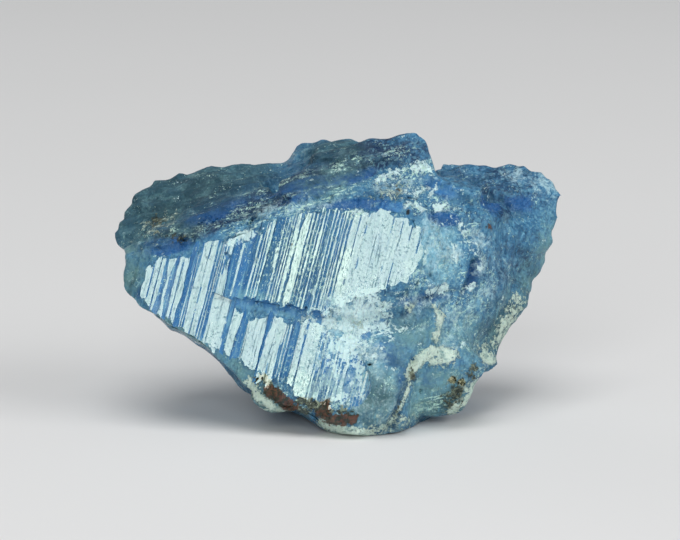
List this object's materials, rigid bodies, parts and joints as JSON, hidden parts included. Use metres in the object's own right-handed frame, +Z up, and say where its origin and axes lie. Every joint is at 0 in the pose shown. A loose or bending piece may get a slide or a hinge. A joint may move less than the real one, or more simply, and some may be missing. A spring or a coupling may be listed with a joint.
{
  "type": "tanzanite crystal",
  "caption": "Rough blue tanzanite crystal: a blocky broken stone with a bright striated prism face, a sloping top with a peak, rear lobes and a narrow rounded foot that it stands on.",
  "frame": {"origin": "middle of the bounding box at the level of the flat base that the stone stands on", "axes": "+Z up; the striated prism face looks towards -Y, leaning back; +X to the right of it"},
  "size_m": [0.0262, 0.0138, 0.0168],
  "materials": {
    "tanzanite": "glossy striated prism face, satin broken faces, cloudy violet-blue"
  },
  "bodies": {
    "root": {"tanzanite_crystal": "tanzanite"}
  },
  "joints": []
}
